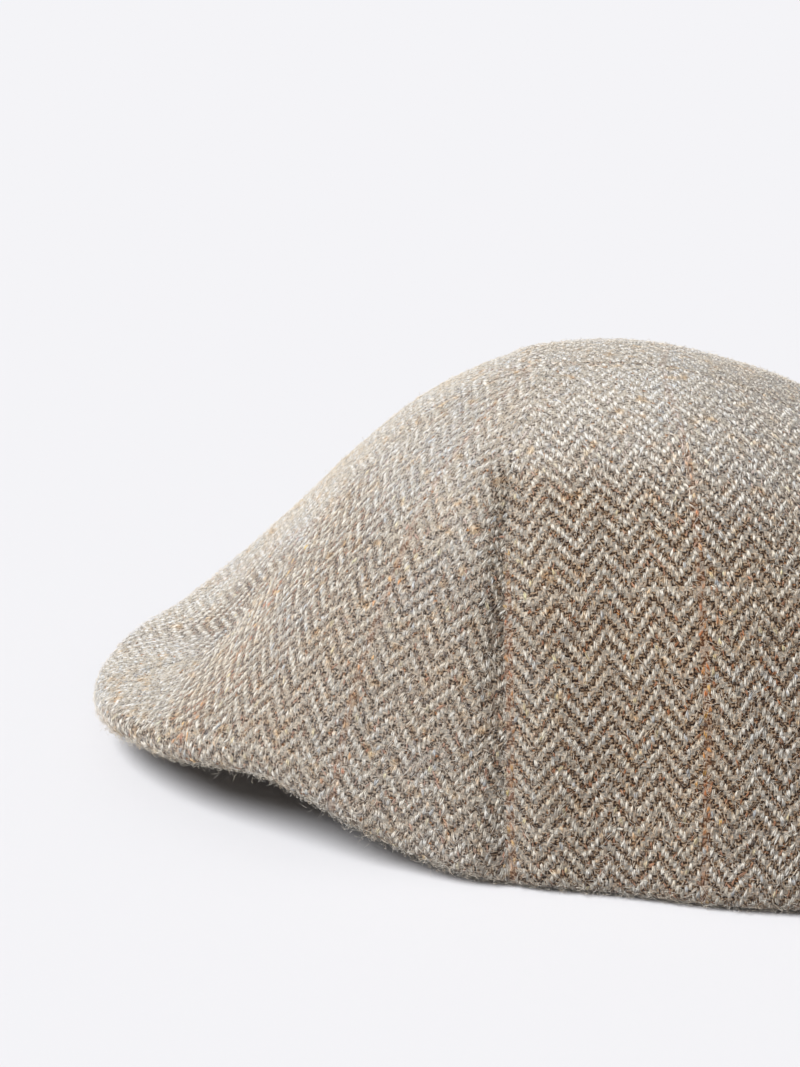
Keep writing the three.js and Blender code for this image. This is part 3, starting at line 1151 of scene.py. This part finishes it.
def weave(name, random):
    warp, warp_dye = warp_floats(maps[name], random, SCATTER[panel_of(name)])
    tuft, tuft_dye = weft_tufts(warp, random)
    weft, weft_dye = pale_weft_floats(maps[name], random)
    kinds = np.repeat([WARP, TUFT, PALE_WEFT], [len(warp), len(tuft), len(weft)])
    strands = lay_strands(name, np.concatenate([warp, tuft, weft]), kinds, random)
    felt_and_sheen = nap_and_sheen(strands.point, strands.normal)
    half, wide, rise = strand_sizes(kinds[strands.number], felt_and_sheen, random)
    middle = random.uniform(-MIDDLE_DRIFT, MIDDLE_DRIFT, len(half)) * half
    sunk = np.full(len(half), FLOAT_SINK)
    stations = [(-half, sunk), (middle, MIDDLE_HEIGHT * rise), (half, sunk)]
    deepest = lowest_of(strands, stations)
    deepest = deepest - np.abs(strands.across[:, 2]) * wide - np.abs(strands.normal[:, 2]) * rise
    strands.point[:, 2] += np.maximum(FLOOR_GAP - deepest, 0)
    dye = np.concatenate([warp_dye, tuft_dye, weft_dye])[strands.number]
    shades = strand_shades(name, dye, felt_and_sheen, strands.point, random)
    piece = spindles(name + "_weave", strands, stations, (wide, MIDDLE_THICKNESS * rise), shades)
    piece.data.materials.append(yarn)
    print(name, len(half), "strands,", len(piece.data.polygons), "triangles")
    return piece


random = np.random.default_rng(WOOL_SEED)
woven = {name: weave(name, random) for name in PIECES}

# %% [markdown]
# ## Wool fuzz
#
# Brushed wool carries a haze of loose fibres that stand off the cloth, catch the light along the
# outline and blur the weave. Particle hair would do it, but it isn't a mesh. Here every fibre is a
# bent needle built like a strand: two points and a ring between them. The fibres stand thickest
# where the wool is brushed up, and they are thick and long on the edges that face the floor.

# %% Scatter the fibres over the pattern
FIBRES = {"front": 18000, "back": 22000, "peak": 4000}
FIBRE_TRIES = 4
LEAST_FUZZ = 0.3
HANGING_SLOPE = (0.0, 0.5)


def scatter_fibres(name, random):
    """Spots of the loose fibres, each turned its own way."""
    flat = maps[name]
    count = FIBRES[panel_of(name)]
    wanted = flat.low + random.random((count * FIBRE_TRIES, 2)) * (flat.high - flat.low)
    spots = flat.find(wanted)
    hanging = fade(-spots.normal[:, 2], *HANGING_SLOPE)
    thick = np.maximum(nap_and_sheen(spots.point, spots.normal) ** 2, hanging)
    kept = random.random(len(thick)) < LEAST_FUZZ + (1 - LEAST_FUZZ) * thick
    spots = choose(choose(spots, kept), slice(count))
    turn = random.uniform(0, 2 * math.pi, len(spots.point))[:, None]
    along = spots.across * np.cos(turn) + spots.along * np.sin(turn)
    across = spots.along * np.cos(turn) - spots.across * np.sin(turn)
    return spots._replace(across=across, along=along)


# %% Bend the fibres
FIBRE_DYES = dyes((244, 240, 232), (236, 230, 220), (228, 220, 208), (214, 200, 182))
FIBRE_HALF = 0.95
FIBRE_HALF_SPREAD = 0.4
FIBRE_WIDTH = 0.036
FIBRE_WIDTH_SPREAD = 0.2
FIBRE_LIFT = 0.1 * MM
FIBRE_LIFT_SHAPE = 2.0
HANGING_LIFT = 2.0
FIBRE_BEND = 0.3
FIBRE_ROOT = 0.05 * MM
FIBRE_MIDDLE = 0.25 * MM
FIBRE_TIP = 0.2 * MM
TIP_LIFT = 1.6


def fuzz(name, random):
    spots = scatter_fibres(name, random)
    count = len(spots.point)
    half = FIBRE_HALF * random.lognormal(0, FIBRE_HALF_SPREAD, count)
    wide = FIBRE_WIDTH * about_one(random, FIBRE_WIDTH_SPREAD, count)
    longer = 1 + HANGING_LIFT * fade(-spots.normal[:, 2], *HANGING_SLOPE)
    lift = random.gamma(FIBRE_LIFT_SHAPE, FIBRE_LIFT, count) * longer
    bend = random.normal(0, FIBRE_BEND, count) * half
    tip = FIBRE_TIP + lift * random.uniform(0, TIP_LIFT, count)
    shades = any_of(FIBRE_DYES, random, count)
    stations = [(-half, np.full(count, FIBRE_ROOT)), (bend, FIBRE_MIDDLE + lift), (half, tip)]
    clear = lowest_of(spots, stations) > FLOOR_GAP
    stations = [(place[clear], height[clear]) for place, height in stations]
    girth = (wide[clear], wide[clear] * MM)
    piece = spindles(name + "_fuzz", choose(spots, clear), stations, girth, shades[clear])
    piece.data.materials.append(fibre)
    print(name, clear.sum(), "fibres,", len(piece.data.polygons), "triangles")
    return piece


fibres = {name: fuzz(name, random) for name in PIECES}
added = [piece.data for group in (cloth, woven, fibres) for piece in group.values()]
print("triangles in all:", sum(len(face.vertices) - 2 for mesh in added for face in mesh.polygons))

# %% [markdown]
# ## Handing the pieces over
#
# Every piece moves with the one rigid body of the cap. A cloth piece stands in for its solid,
# which is hidden, and its threads and fibres go with it.

# %% Ride and replace
for name in PIECES:
    loose = [woven[name], fibres[name]]
    for piece in (cloth[name], *loose):
        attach(piece, "root")
    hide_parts(name)
